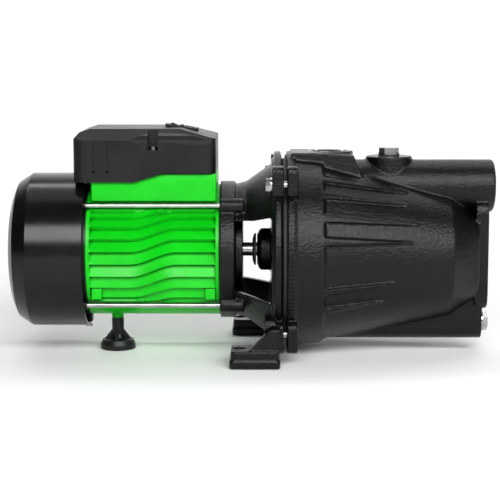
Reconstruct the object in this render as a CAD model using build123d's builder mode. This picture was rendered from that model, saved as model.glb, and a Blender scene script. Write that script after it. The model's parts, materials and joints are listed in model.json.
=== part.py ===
from build123d import *
from math import atan2, cos, degrees, radians, sin
import os

os.makedirs("parts", exist_ok=True)

# A self-priming jet pump on its motor. The origin is on the floor, midway between the two holes of
# the bracket feet. +X runs along the shaft towards the suction port, +Z is up. Inside the sections
# below, heights called "rise" are measured from the shaft centre.

# Driving dimensions, millimetres and degrees
shaft_height = 88.4
running_gap = 0.05          # radial, between parts that turn on each other
thread_gap = 0.05           # radial, between a thread and its tapped hole
free_gap = 0.4              # between parts that only pass close by

housing_rear = -130.0       # finned motor housing
housing_front = -16.5
housing_bore = 48.0
barrel_radius = 53.0
fin_radius = 57.0
fin_pitch = 11.0
top_fin_angle = 38.4
fin_count = 9
fin_thickness = 3.6
window_rise = 39.0
rim_width = 3.2
rod_rise = 42.8             # tie rods stand at this offset in Y and in Z
rod_radius = 2.2

cowl_end = -197.0           # fan cover
cowl_rim = -132.0
cowl_radius = 67.0
cowl_wall = 2.2
cowl_nose_radius = 44.0

box_left = -140.5           # terminal box cover
box_right = -19.5
box_half_width = 46.0
box_top = 107.4
box_edge = 98.0
box_wall = 2.4
pedestal_rise = 70.0
cover_screw_x = -72.7
cover_screw_y = 39.0
pocket_width = 8.8          # open notch around each cover screw
screw_seat_rise = 90.0
cover_screw_radius = 1.7

ring_front = -3.7           # bracket
flange_back = 27.6
flange_face = 37.5
flange_radius = 86.0
gasket_thickness = 2.7
bolt_y = 68.0
bolt_rise = 63.0
bolt_radius = 3.0
window_half_height = 30.0
foot_hole_y = 73.0
foot_hole_radius = 5.0
foot_inner_y = 55.0
foot_outer_y = 90.6
foot_height = 14.4
web_outer_y = 88.0          # upright web between each foot and the flange
web_top = 33.0
hub_front = 3.0             # wall around the front bearing
hub_wall_radius = 37.0

journal_radius = 6.0        # shaft
rotor_seat_radius = 8.5
fan_seat_radius = journal_radius - 1.0
fan_start = -170.0          # cooling fan on the shaft's rear end
fan_end = -151.0
fan_radius = 49.0
fan_blades = 7
impeller_seat_radius = journal_radius - 0.5
shaft_thread_radius = 4.0
bearing_width = 10.0
bearing_radius = 16.0
rear_bearing_x = -141.0
front_bearing_x = -16.0

impeller_radius = 58.0
impeller_back = 46.0
spigot_radius = 73.9
spigot_length = 5.5
seal_bore = 14.0
hump_start = 15.2           # seal housing that stands out of the bracket's wall
hump_radius = 18.5
seat_start = 18.0
seat_end = 24.0
seat_radius = 12.2
face_end = 28.0
seal_radius = 10.5
slinger_start = 11.2
slinger_radius = 14.0

body_flange_thickness = 8.8
body_end = 206.0
cavity_radius = 74.0
port_thread_radius = 15.2
port_mouth_radius = 17.3
port_depth = 16.0
discharge_x = 78.0
discharge_rise = 86.0
suction_rise = 56.0
suction_end = body_end + 15.0
suction_boss_radius = 23.0
suction_boss_start = 96.0
priming_x = 130.0
priming_rise = 82.2
plug_thread_radius = 6.5
plug_pitch = 1.34
drain_rise = -63.5
drain_x = body_end + 5.0
bead_height = 2.8

body_face = flange_face + gasket_thickness
stack_start = -105.0
stack_end = -50.0
stator_bore = 27.0
slot_count = 24
shaft_axis = Axis((0, 0, shaft_height), (1, 0, 0))
side = Plane(origin=(0, 0, shaft_height), x_dir=(1, 0, 0), z_dir=(0, -1, 0))


def across(x):
    """Plane square to the shaft: local x is +Y, local y is up, extrusions run towards +X."""
    return Plane(origin=(x, 0, shaft_height), x_dir=(0, 1, 0), z_dir=(1, 0, 0))


def level(rise):
    """Horizontal plane at a height measured from the shaft centre."""
    return Plane.XY.offset(shaft_height + rise)


def turn(outline, mode=Mode.ADD):
    """Revolves an outline of (x, radius) points about the shaft in the open part."""
    with BuildSketch(side) as profile:
        with BuildLine():
            Polyline(*outline, close=True)
        make_face()
    revolve(profile.sketch, axis=shaft_axis, mode=mode)


def turn_ring(start, end, inner, outer, mode=Mode.ADD):
    """A plain ring about the shaft, or a disc where the inner radius is 0."""
    turn([(start, inner), (start, outer), (end, outer), (end, inner)], mode)


def turn_wire(x, radius, section, mode=Mode.ADD):
    """A ring of round section about the shaft."""
    with BuildSketch(side) as profile:
        with Locations((x, radius)):
            Circle(section)
    revolve(profile.sketch, axis=shaft_axis, mode=mode)


def finish(builder, name):
    """Labels a finished sub-part and writes it."""
    builder.part.label = name
    export_step(builder.part, f"parts/{name}.step")


# ---------------------------------------------------------------- motor housing
window_start = housing_rear + rim_width
window_end = housing_front - rim_width
step_start = -92.0
step_end = -53.0
step_middle = (step_start + step_end) / 2

fin_start = window_start - 1
fin_end = window_end + 1

with BuildPart() as fins:
    with BuildSketch(side):
        for fin in range(fin_count):
            low = fin_radius * sin(radians(top_fin_angle - fin * fin_pitch))
            high = fin_radius * sin(radians(top_fin_angle - (fin - 1) * fin_pitch))
            top_low = low + fin_thickness
            top_high = high + fin_thickness
            with BuildLine():
                Line((fin_start, low), (step_start, low))
                Bezier((step_start, low), (step_middle, low), (step_middle, high), (step_end, high))
                Line((step_end, high), (fin_end, high))
                Line((fin_end, high), (fin_end, top_high))
                Line((fin_end, top_high), (step_end, top_high))
                Bezier(
                    (step_end, top_high), (step_middle, top_high),
                    (step_middle, top_low), (step_start, top_low),
                )
                Line((step_start, top_low), (fin_start, top_low))
                Line((fin_start, top_low), (fin_start, low))
            make_face()
    extrude(amount=fin_radius + 1)
    turn_ring(fin_start - 1, fin_end + 1, 0, fin_radius - 0.2, mode=Mode.INTERSECT)
    turn_ring(fin_start - 2, fin_end + 2, 0, barrel_radius - 1, mode=Mode.SUBTRACT)

pedestal_x = (box_left + 15 + housing_front - 3) / 2
pedestal_length = housing_front - 3 - (box_left + 15)
foot_x = -108.0
foot_boss_radius = 5.0
foot_boss_rise = -61.3
foot_thread_radius = 2.5

with BuildPart() as motor_housing:
    turn_ring(housing_rear, housing_front, 0, fin_radius)
    with BuildSketch(across(window_start)):
        Circle(fin_radius + 1)
        Circle(barrel_radius, mode=Mode.SUBTRACT)
        Rectangle(3 * fin_radius, 2 * window_rise, mode=Mode.INTERSECT)
    extrude(amount=window_end - window_start, mode=Mode.SUBTRACT)
    add(fins.part)
    mirror(fins.part, about=Plane.XZ)
    with BuildSketch(level(35)):
        with Locations((pedestal_x, 0)):
            Rectangle(pedestal_length - 1, 2 * (rod_rise - rod_radius - 2))
    extrude(amount=15)
    with BuildSketch(level(rod_rise + rod_radius + 1.2)):
        with Locations((pedestal_x, 0)):
            RectangleRounded(pedestal_length, 2 * (box_half_width - box_wall - free_gap - 1), 4)
    extrude(amount=pedestal_rise - rod_rise - rod_radius - 1.2)
    with BuildSketch(level(pedestal_rise)):
        with Locations((pedestal_x, 0)):
            RectangleRounded(pedestal_length - 14, 62, 6)
    extrude(amount=-14, mode=Mode.SUBTRACT)
    with BuildSketch(level(pedestal_rise)):
        with Locations((stack_end + 12, 0)):
            RectangleRounded(16, 30, 4)
    extrude(amount=-30, mode=Mode.SUBTRACT)
    with BuildSketch(level(pedestal_rise)):
        with Locations((cover_screw_x, cover_screw_y), (cover_screw_x, -cover_screw_y)):
            Circle(cover_screw_radius + thread_gap)
    extrude(amount=-12, mode=Mode.SUBTRACT)
    for pad_x in (window_start + 1.5, window_end - 8.5):
        with BuildSketch(side):
            with Locations((pad_x + 4, -32)):
                Rectangle(8.5, 9.5)
        extrude(amount=fin_radius - 7.5)
    with BuildSketch(level(foot_boss_rise)):
        with Locations((foot_x, 0)):
            Circle(foot_boss_radius)
    extrude(amount=10)
    turn_ring(housing_rear - 1, housing_front + 1, 0, housing_bore, mode=Mode.SUBTRACT)
    with BuildSketch(level(foot_boss_rise)):
        with Locations((foot_x, 0)):
            Circle(foot_thread_radius)
    extrude(amount=9, mode=Mode.SUBTRACT)
finish(motor_housing, "motor_housing")

# ---------------------------------------------------------------- rear end shield and tie rods
shield_back = housing_rear - 7.0
screw_length = 8.0
cowl_screw_radius = 1.55
ear_angles = (0, 90, 270)
ear_radius = cowl_radius - 8
ear_depth = 5.0


def ear_hole(angle, radius):
    """Plane at an ear of the end shield, its normal pointing at the shaft."""
    return Plane(
        origin=(shield_back + 3.4, radius * cos(radians(angle)), shaft_height + radius * sin(radians(angle))),
        z_dir=(0, -cos(radians(angle)), -sin(radians(angle))),
    )


with BuildPart() as rear_end_shield:
    turn([
        (shield_back, bearing_radius + 4), (shield_back, 50), (shield_back + 2, fin_radius),
        (housing_rear, fin_radius), (housing_rear, housing_bore), (housing_rear + 4, housing_bore),
        (housing_rear + 4, housing_bore - 4), (housing_rear, housing_bore - 4),
        (housing_rear - 1, 24), (housing_rear + 1, bearing_radius + 4),
    ])
    turn([
        (rear_bearing_x - 3, 9), (rear_bearing_x - 3, bearing_radius + 4),
        (housing_rear + 1, bearing_radius + 4), (housing_rear + 1, bearing_radius),
        (rear_bearing_x, bearing_radius), (rear_bearing_x, 9),
    ])
    with BuildSketch(across(shield_back)):
        with GridLocations(2 * rod_rise, 2 * rod_rise, 2, 2):
            Circle(4)
        Circle(housing_bore, mode=Mode.SUBTRACT)
    extrude(amount=housing_rear - shield_back)
    with BuildSketch(across(shield_back)):
        for angle in ear_angles:
            ear = (ear_radius * cos(radians(angle)), ear_radius * sin(radians(angle)))
            with Locations(Location(ear, angle)):
                Rectangle(2 * ear_depth, 9)
    extrude(amount=housing_rear - shield_back)
    turn_ring(shield_back, housing_rear, cowl_radius - cowl_wall - 0.05, 90, mode=Mode.SUBTRACT)
    with BuildSketch(across(shield_back)):
        with GridLocations(2 * rod_rise, 2 * rod_rise, 2, 2):
            Circle(rod_radius + 0.15)
    extrude(amount=housing_rear - shield_back, mode=Mode.SUBTRACT)
    for angle in ear_angles:
        with BuildSketch(ear_hole(angle, cowl_radius + 3)):
            Circle(cowl_screw_radius + thread_gap)
        extrude(amount=14, mode=Mode.SUBTRACT)
finish(rear_end_shield, "rear_end_shield")

rod_end = 2.0
with BuildPart() as tie_rods:
    with BuildSketch(across(shield_back - 1)):
        with GridLocations(2 * rod_rise, 2 * rod_rise, 2, 2):
            Circle(rod_radius)
    extrude(amount=rod_end - shield_back + 1)
    with BuildSketch(across(shield_back - 4.4)):
        with GridLocations(2 * rod_rise, 2 * rod_rise, 2, 2):
            Circle(3.9)
    extrude(amount=3.4)
    with BuildSketch(across(shield_back - 4.4)):
        with GridLocations(2 * rod_rise, 2 * rod_rise, 2, 2):
            RegularPolygon(2, 6, major_radius=False)
    extrude(amount=1.8, mode=Mode.SUBTRACT)
finish(tie_rods, "tie_rods")

with BuildPart() as tie_rod_washers:
    with BuildSketch(across(shield_back - 1)):
        with GridLocations(2 * rod_rise, 2 * rod_rise, 2, 2):
            Circle(4)
            Circle(rod_radius + 0.15, mode=Mode.SUBTRACT)
    extrude(amount=1)
finish(tie_rod_washers, "tie_rod_washers")

# ---------------------------------------------------------------- fan cover
with BuildPart() as fan_cover:
    turn([
        (cowl_end, 0), (cowl_end, cowl_nose_radius), (cowl_end + 1.4, cowl_radius - 17),
        (cowl_end + 5.4, cowl_radius - 7.4), (cowl_end + 16.8, cowl_radius),
        (cowl_rim, cowl_radius), (cowl_rim, 0),
    ])
    edges_round = fan_cover.edges().filter_by(GeomType.CIRCLE).sort_by(Axis.X)[:4]
    fillet(edges_round, 2.4)
    turn([
        (cowl_end + cowl_wall, 0), (cowl_end + cowl_wall, cowl_nose_radius - 0.6),
        (cowl_end + 3.4, cowl_radius - 18),
        (cowl_end + 7.2, cowl_radius - 9), (cowl_end + 17.4, cowl_radius - cowl_wall),
        (cowl_rim + 1, cowl_radius - cowl_wall), (cowl_rim + 1, 0),
    ], mode=Mode.SUBTRACT)
    with BuildSketch(across(cowl_end - 1)):
        with PolarLocations(24, 24):
            SlotOverall(23, 3)
        with PolarLocations(39.6, 36):
            SlotOverall(5.2, 2.4)
    extrude(amount=cowl_wall + 2, mode=Mode.SUBTRACT)
    for angle in ear_angles:
        with BuildSketch(ear_hole(angle, cowl_radius + 3)):
            Circle(cowl_screw_radius + 0.35)
        extrude(amount=8, mode=Mode.SUBTRACT)
finish(fan_cover, "fan_cover")

with BuildPart() as fan_cover_screws:
    for angle in ear_angles:
        with BuildSketch(ear_hole(angle, cowl_radius + 0.05)):
            Circle(cowl_screw_radius)
        extrude(amount=screw_length)
        with BuildSketch(ear_hole(angle, cowl_radius + 0.05)):
            Circle(3.2)
        extrude(amount=-1.8)
finish(fan_cover_screws, "fan_cover_screws")

# ---------------------------------------------------------------- stator and rotor
with BuildPart() as stator_core:
    with BuildSketch(across(stack_start)):
        Circle(housing_bore)
        Circle(stator_bore, mode=Mode.SUBTRACT)
        with PolarLocations(36, slot_count):
            Rectangle(12, 4, mode=Mode.SUBTRACT)
        with PolarLocations(29, slot_count):
            Rectangle(5, 1.6, mode=Mode.SUBTRACT)
    extrude(amount=stack_end - stack_start)
finish(stator_core, "stator_core")

winding_reach = 15.0
with BuildPart() as stator_windings:
    with BuildSketch(across(stack_start - 2)):
        with PolarLocations(36, slot_count):
            Rectangle(11, 3.4)
    extrude(amount=stack_end - stack_start + 4)
    turn_ring(stack_start - winding_reach, stack_start - 0.5, 30, 43)
    turn_ring(stack_end + 0.5, stack_end + winding_reach, 30, 43)
    fillet(stator_windings.edges().filter_by(GeomType.CIRCLE).group_by(Axis.X)[0], 4)
    fillet(stator_windings.edges().filter_by(GeomType.CIRCLE).group_by(Axis.X)[-1], 4)
finish(stator_windings, "stator_windings")

with BuildPart() as rotor_core:
    turn_ring(stack_start, stack_end, rotor_seat_radius, stator_bore - free_gap)
finish(rotor_core, "rotor_core")

with BuildPart() as rotor_cage:
    for start in (stack_start - 6, stack_end):
        turn_ring(start, start + 6, 15, 24)
        with BuildSketch(across(start if start < stack_start else start + 6)):
            with PolarLocations(19.5, 9):
                Rectangle(8, 1.8)
        extrude(amount=-6 if start < stack_start else 6)
finish(rotor_cage, "rotor_cage")

seal_end = impeller_back - 3.0
impeller_front = impeller_back + 16.0
nut_start = impeller_front + 4.0
with BuildPart() as shaft:
    turn([
        (fan_start - 4, 0), (fan_start - 4, fan_seat_radius),
        (fan_end, fan_seat_radius), (fan_end, journal_radius),
        (rear_bearing_x + bearing_width, journal_radius),
        (rear_bearing_x + bearing_width, rotor_seat_radius), (front_bearing_x, rotor_seat_radius),
        (front_bearing_x, journal_radius), (seal_end, journal_radius), (seal_end, impeller_seat_radius),
        (nut_start, impeller_seat_radius), (nut_start, shaft_thread_radius),
        (nut_start + 10, shaft_thread_radius), (nut_start + 10, 0),
    ])
    with BuildSketch(level(impeller_seat_radius - 2)):
        with Locations(((seal_end + impeller_front) / 2 + 4, 0)):
            SlotOverall(14, 3)
    extrude(amount=4, mode=Mode.SUBTRACT)
finish(shaft, "shaft")

with BuildPart() as impeller_key:
    with BuildSketch(level(impeller_seat_radius - 2)):
        with Locations(((seal_end + impeller_front) / 2 + 4, 0)):
            SlotOverall(14, 3)
    extrude(amount=3.2)
finish(impeller_key, "impeller_key")

with BuildPart() as cooling_fan:
    turn_ring(fan_start, fan_end, fan_seat_radius, fan_seat_radius + 5)
    turn_ring(fan_end - 3, fan_end, fan_seat_radius + 4, 30)
    with BuildSketch(across(fan_start)):
        with PolarLocations((fan_radius + fan_seat_radius + 4) / 2, fan_blades):
            Rectangle(fan_radius - fan_seat_radius - 4, 2.2)
    extrude(amount=fan_end - fan_start - 2)
finish(cooling_fan, "cooling_fan")

with BuildPart() as fan_circlip:
    turn_ring(fan_start - 1.4, fan_start, fan_seat_radius, fan_seat_radius + 2.4)
finish(fan_circlip, "fan_circlip")

# ---------------------------------------------------------------- ball bearings
ball_radius = 2.95
ball_circle = 11.0
ball_count = 7


def outer_race(start):
    """Outer ring with its ball groove."""
    turn_ring(start, start + bearing_width, 13, bearing_radius)
    turn_wire(start + bearing_width / 2, ball_circle, ball_radius + running_gap, mode=Mode.SUBTRACT)


def inner_race(start):
    """Inner ring with its ball groove."""
    turn_ring(start, start + bearing_width, journal_radius, 9)
    turn_wire(start + bearing_width / 2, ball_circle, ball_radius + running_gap, mode=Mode.SUBTRACT)


def balls(start):
    """Balls spread evenly round the groove."""
    for number in range(ball_count):
        angle = radians(360 / ball_count * number)
        centre = (
            start + bearing_width / 2,
            ball_circle * cos(angle),
            shaft_height + ball_circle * sin(angle),
        )
        with Locations(centre):
            Sphere(ball_radius)


with BuildPart() as rear_bearing_outer_ring:
    outer_race(rear_bearing_x)
finish(rear_bearing_outer_ring, "rear_bearing_outer_ring")
with BuildPart() as rear_bearing_inner_ring:
    inner_race(rear_bearing_x)
finish(rear_bearing_inner_ring, "rear_bearing_inner_ring")
with BuildPart() as rear_bearing_balls:
    balls(rear_bearing_x)
finish(rear_bearing_balls, "rear_bearing_balls")
with BuildPart() as front_bearing_outer_ring:
    outer_race(front_bearing_x)
finish(front_bearing_outer_ring, "front_bearing_outer_ring")
with BuildPart() as front_bearing_inner_ring:
    inner_race(front_bearing_x)
finish(front_bearing_inner_ring, "front_bearing_inner_ring")
with BuildPart() as front_bearing_balls:
    balls(front_bearing_x)
finish(front_bearing_balls, "front_bearing_balls")

with BuildPart() as preload_washer:
    turn_ring(front_bearing_x - 1, front_bearing_x, 13, bearing_radius - 0.2)
finish(preload_washer, "preload_washer")

# ---------------------------------------------------------------- bracket
foot_back_x = -7.8
foot_front_x = 34.8
ring_back = housing_front
lug_half = 9.5
step_height = 6.4


def flange_lugs(x, thickness):
    """Four corner lugs round the flange bolts."""
    with BuildSketch(across(x)) as corners:
        with GridLocations(2 * bolt_y, 2 * (bolt_rise + 2.5), 2, 2):
            RectangleRounded(2 * lug_half, 26, 5)
        with GridLocations(2 * (bolt_y - 12), 2 * (bolt_rise - 6), 2, 2):
            Rectangle(24, 30)
    extrude(corners.sketch, amount=thickness)


with BuildPart() as bracket:
    turn_ring(ring_back, ring_front, 50, 60)
    turn_ring(ring_front - 5, ring_front, bearing_radius, 52)
    turn_ring(ring_back - 3, ring_back + 1, housing_bore - 6, housing_bore)
    turn_ring(ring_back + 0.5, ring_front, housing_bore - 6, 52)
    turn([
        (front_bearing_x - 2, bearing_radius), (front_bearing_x - 2, bearing_radius + 5),
        (ring_front, bearing_radius + 5), (ring_front, journal_radius + 2),
        (front_bearing_x + bearing_width, journal_radius + 2),
        (front_bearing_x + bearing_width, bearing_radius),
    ])
    with BuildSketch(across(ring_back)):
        with GridLocations(2 * rod_rise, 2 * rod_rise, 2, 2):
            Circle(6.2)
        Circle(50, mode=Mode.SUBTRACT)
    extrude(amount=ring_front - ring_back + 8)
    turn([
        (ring_front - 1, 47), (ring_front - 1, 57), (6, 60),
        (flange_back + 1, 76), (flange_back + 1, 68), (6, 53),
    ])
    with BuildSketch(side):
        with BuildLine():
            Polyline(
                (ring_front, window_half_height), (12, window_half_height + 1),
                (flange_back, window_half_height + 5), (flange_back, -window_half_height - 9),
                (12, -window_half_height - 4), (ring_front, -window_half_height), close=True,
            )
        make_face()
    extrude(amount=100, both=True, mode=Mode.SUBTRACT)
    turn([
        (hump_start, journal_radius + 0.8), (hump_start, hump_radius - 5.5),
        (hump_start + 1.8, hump_radius - 1.5),
        (hump_start + 3.8, hump_radius), (flange_back, hump_radius), (flange_back, 80),
        (29.9, 80), (29.9, flange_radius), (35.7, flange_radius), (35.7, 80), (flange_face, 80),
        (flange_face, spigot_radius), (flange_face + spigot_length, spigot_radius),
        (flange_face + spigot_length, spigot_radius - 5), (flange_face, spigot_radius - 6),
        (flange_face, seal_bore), (seat_start, seal_bore), (seat_start, journal_radius + 0.8),
    ])
    turn([
        (ring_front - 1, journal_radius + 2), (ring_front - 1, hub_wall_radius), (hub_front, hub_wall_radius),
        (hub_front, journal_radius + 7), (ring_front + 1, journal_radius + 7),
        (ring_front + 1, journal_radius + 2),
    ])
    flange_lugs(flange_back, flange_face - flange_back)
    for direction in (-1, 1):
        with BuildSketch(Plane.XY):
            with Locations(((foot_back_x + foot_front_x) / 2, direction * (foot_inner_y + foot_outer_y) / 2)):
                RectangleRounded(foot_front_x - foot_back_x, foot_outer_y - foot_inner_y, 4)
        extrude(amount=step_height)
        with BuildSketch(Plane.XY.offset(step_height)):
            with Locations(((foot_back_x + foot_front_x) / 2, direction * (foot_inner_y + foot_outer_y) / 2)):
                RectangleRounded(foot_front_x - foot_back_x - 2, foot_outer_y - foot_inner_y - 2, 4)
        extrude(amount=foot_height - step_height)
        with BuildSketch(across(flange_back - 6)):
            with BuildLine():
                Polyline(
                    (direction * (foot_inner_y + 2), foot_height - shaft_height),
                    (direction * (foot_outer_y - 3), foot_height - shaft_height),
                    (direction * 74, -50), (direction * 45, -50), close=True,
                )
            make_face()
        extrude(amount=9)
        with BuildSketch(Plane.XZ.offset(-direction * web_outer_y)):
            with BuildLine():
                Polyline(
                    (7, foot_height - 1), (flange_back - 1, web_top),
                    (foot_front_x - 0.6, web_top), (foot_front_x - 0.6, foot_height - 1), close=True,
                )
            make_face()
        extrude(amount=direction * (web_outer_y - foot_hole_y - foot_hole_radius - 0.5))
        with BuildSketch(Plane.XY):
            with Locations((0, direction * foot_hole_y)):
                Circle(foot_hole_radius)
        extrude(amount=foot_height + 2, mode=Mode.SUBTRACT)
    with BuildSketch(across(flange_back - 8)):
        with GridLocations(2 * bolt_y, 2 * bolt_rise, 2, 2):
            Circle(7)
    extrude(amount=8, mode=Mode.SUBTRACT)
    with BuildSketch(across(flange_back)):
        with GridLocations(2 * bolt_y, 2 * bolt_rise, 2, 2):
            Circle(bolt_radius + 0.3)
    extrude(amount=flange_face - flange_back, mode=Mode.SUBTRACT)
    with BuildSketch(across(ring_back)):
        with GridLocations(2 * rod_rise, 2 * rod_rise, 2, 2):
            Circle(rod_radius + thread_gap)
    extrude(amount=rod_end - ring_back + 1, mode=Mode.SUBTRACT)
finish(bracket, "bracket")

# ---------------------------------------------------------------- pump body
step_x = 72.0
nose_x = 182.0
cone_big = 79.0
cone_small = 55.0
cone_drop = -4.0
cavity_end = 170.0
chamber_start = 178.0
chamber_end = 198.0
chamber_radius = 22.0
venturi_radius = 11.0
lobe_rise = -77.0
lobe_half = 20.0
port_chamfer = port_mouth_radius - port_thread_radius
discharge_seat = Plane(origin=(discharge_x, 0, shaft_height + discharge_rise + 0.6), z_dir=(0, 0, 1))
suction_seat = Plane(origin=(suction_end, 0, shaft_height + suction_rise), z_dir=(1, 0, 0))

with BuildPart() as cone:
    with BuildSketch(across(step_x - 4)):
        Circle(cone_big + 0.7)
    with BuildSketch(across(nose_x)):
        with Locations((0, cone_drop)):
            Circle(cone_small)
    loft()

with BuildPart() as bead_skin:
    with BuildSketch(across(step_x - 4)):
        Circle(cone_big + 0.7 + bead_height)
    with BuildSketch(across(nose_x)):
        with Locations((0, cone_drop)):
            Circle(cone_small + bead_height)
    loft()

# Beads: start x, start rise, end x, end rise, half height at the round end
bead_lines = [
    (73, 66, 144, 53.5, 1.8),
    (73, 54, 143, 44, 2.6),
    (73.5, 35.8, 152, 27.4, 3.3),
    (73.5, 16.7, 147, 13.8, 3.3),
    (73.5, -26.5, 131.5, -19.8, 2.8),
    (73.5, -43.5, 123.5, -36.2, 2.6),
]
with BuildPart() as beads:
    with BuildSketch(side):
        for start_x, start_rise, end_x, end_rise, half in bead_lines:
            with BuildLine():
                Line((start_x, start_rise + half), (end_x, end_rise))
                Line((end_x, end_rise), (start_x, start_rise - half))
                ThreePointArc(
                    (start_x, start_rise - half), (start_x - half, start_rise), (start_x, start_rise + half)
                )
            make_face()
    extrude(amount=cone_big + 5)
    add(bead_skin.part, mode=Mode.INTERSECT)

with BuildPart() as pump_body:
    turn([
        (body_face, cavity_radius + 0.1), (body_face, 80),
        (body_face + 0.6, 80), (body_face + 0.6, flange_radius),
        (body_face + 6, flange_radius), (body_face + body_flange_thickness, 84), (step_x - 1.5, 82),
        (step_x, 80), (step_x, 60), (body_face + 12, 60),
    ])
    flange_lugs(body_face, body_flange_thickness)
    add(cone.part)
    with BuildSketch(across(nose_x)):
        with Locations((0, cone_drop)):
            Circle(cone_small)
    with BuildSketch(across(body_end)):
        with Locations((0, -6)):
            RectangleRounded(70, 68, 20)
    loft()
    add(beads.part)
    mirror(beads.part, about=Plane.XZ)
    # Low sump along the bottom, and the column that joins it to the suction boss
    with BuildSketch(across(step_x - 12)):
        with Locations((0, lobe_rise + 25)):
            RectangleRounded(2 * lobe_half, 50, 10)
    extrude(amount=drain_x - step_x + 12)
    with BuildSketch(across(body_end - 2)):
        with Locations((0, -2)):
            RectangleRounded(50, 96, 12)
    extrude(amount=11)
    # Top ridge with the discharge and priming bosses
    with BuildSketch(side):
        with BuildLine():
            Polyline(
                (body_face + 4, 86.4), (64, 86.4), (98, 84.2), (112, 50), (body_face + 4, 50), close=True
            )
        make_face()
    extrude(amount=27, both=True)
    with BuildSketch(level(40)):
        with Locations((discharge_x, 0)):
            Circle(port_mouth_radius + 3.5)
        with Locations((priming_x, 0)):
            Circle(20)
    extrude(amount=priming_rise - 40)
    with BuildSketch(level(priming_rise - 5)):
        with Locations((discharge_x, 0)):
            Circle(port_mouth_radius + 3.5)
    extrude(amount=discharge_rise - priming_rise + 5.6)
    # Suction boss
    with BuildSketch(across(suction_boss_start)):
        with Locations((0, suction_rise)):
            Circle(suction_boss_radius)
    extrude(amount=suction_end - suction_boss_start)
    fillet(pump_body.edges().filter_by(GeomType.CIRCLE).sort_by(Axis.X)[-1], 3)
    # Pressure chamber, with the mouth that takes the bracket's spigot
    turn([
        (body_face - 1, 0), (body_face - 1, cavity_radius), (body_face + 6, cavity_radius), (step_x, 73),
        (step_x + 3, 68), (cavity_end, 48), (cavity_end, 0),
    ], mode=Mode.SUBTRACT)
    turn_ring(cavity_end - 1, chamber_start + 1, 0, venturi_radius + 0.1, mode=Mode.SUBTRACT)
    turn_ring(chamber_start, chamber_end, 0, chamber_radius, mode=Mode.SUBTRACT)
    turn_ring(chamber_end - 1, body_end + 3, 0, 7, mode=Mode.SUBTRACT)
    with BuildSketch(level(0)):
        with Locations((188, 0)):
            Circle(9)
    extrude(amount=suction_rise, mode=Mode.SUBTRACT)
    with BuildSketch(across(180)):
        with Locations((0, suction_rise)):
            Circle(13)
    extrude(amount=suction_end - 180, mode=Mode.SUBTRACT)
    with BuildSketch(across(suction_end)):
        with Locations((0, suction_rise)):
            Circle(port_thread_radius)
    extrude(amount=-port_depth, mode=Mode.SUBTRACT)
    # Discharge port and priming hole
    with BuildSketch(level(discharge_rise + 0.6)):
        with Locations((discharge_x, 0)):
            Circle(port_thread_radius)
    extrude(amount=-port_depth, mode=Mode.SUBTRACT)
    with BuildSketch(level(discharge_rise)):
        with Locations((discharge_x, 0)):
            Circle(11.7)
    extrude(amount=-30, mode=Mode.SUBTRACT)
    for mouth in (discharge_seat, suction_seat):
        with BuildSketch(mouth):
            Circle(port_mouth_radius)
        with BuildSketch(mouth.offset(-port_chamfer)):
            Circle(port_thread_radius)
        loft(mode=Mode.SUBTRACT)
    with BuildSketch(level(priming_rise + 1)):
        with Locations((priming_x, 0)):
            Circle(plug_thread_radius + thread_gap)
    extrude(amount=-34, mode=Mode.SUBTRACT)
    # Pressure channel: sump, drain, and the riser that feeds the nozzle
    with BuildSketch(across(100)):
        with Locations((0, drain_rise)):
            Circle(plug_thread_radius + thread_gap)
    extrude(amount=drain_x - 90, mode=Mode.SUBTRACT)
    with BuildSketch(level(drain_rise)):
        with Locations((110, 0)):
            Circle(6)
    extrude(amount=20, mode=Mode.SUBTRACT)
    with BuildSketch(level(drain_rise)):
        with Locations((body_end, 0)):
            Circle(4)
    extrude(amount=-drain_rise, mode=Mode.SUBTRACT)
    with BuildSketch(across(body_face - 1)):
        with GridLocations(2 * bolt_y, 2 * bolt_rise, 2, 2):
            Circle(bolt_radius + thread_gap)
    extrude(amount=body_flange_thickness + 2, mode=Mode.SUBTRACT)
finish(pump_body, "pump_body")

# ---------------------------------------------------------------- flange joint
with BuildPart() as flange_gasket:
    turn_ring(flange_face, body_face, spigot_radius + 0.2, 79.8)
finish(flange_gasket, "flange_gasket")

washer_thickness = 1.2
head_height = 4.0
with BuildPart() as flange_bolts:
    with BuildSketch(across(flange_back - washer_thickness - head_height)):
        with GridLocations(2 * bolt_y, 2 * bolt_rise, 2, 2):
            RegularPolygon(5, 6, major_radius=False)
    extrude(amount=head_height)
    with BuildSketch(across(flange_back - washer_thickness)):
        with GridLocations(2 * bolt_y, 2 * bolt_rise, 2, 2):
            Circle(bolt_radius)
    extrude(amount=washer_thickness + body_face + body_flange_thickness - flange_back)
finish(flange_bolts, "flange_bolts")

with BuildPart() as flange_washers:
    with BuildSketch(across(flange_back - washer_thickness)):
        with GridLocations(2 * bolt_y, 2 * bolt_rise, 2, 2):
            Circle(6.2)
            Circle(bolt_radius + 0.3, mode=Mode.SUBTRACT)
    extrude(amount=washer_thickness)
finish(flange_washers, "flange_washers")

# ---------------------------------------------------------------- shaft seal and slinger
with BuildPart() as slinger:
    turn([
        (slinger_start, journal_radius), (slinger_start, journal_radius + 3.5),
        (slinger_start + 1.6, slinger_radius), (slinger_start + 3.2, slinger_radius),
        (slinger_start + 3.2, journal_radius),
    ])
finish(slinger, "slinger")

with BuildPart() as seal_seat:
    turn_ring(seat_start, seat_end, journal_radius + 0.9, seat_radius)
finish(seal_seat, "seal_seat")

with BuildPart() as seal_seat_boot:
    turn_ring(seat_start, seat_end - 0.4, seat_radius, seal_bore)
finish(seal_seat_boot, "seal_seat_boot")

with BuildPart() as seal_face:
    turn_ring(seat_end, face_end, journal_radius, seal_radius)
finish(seal_face, "seal_face")

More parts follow.
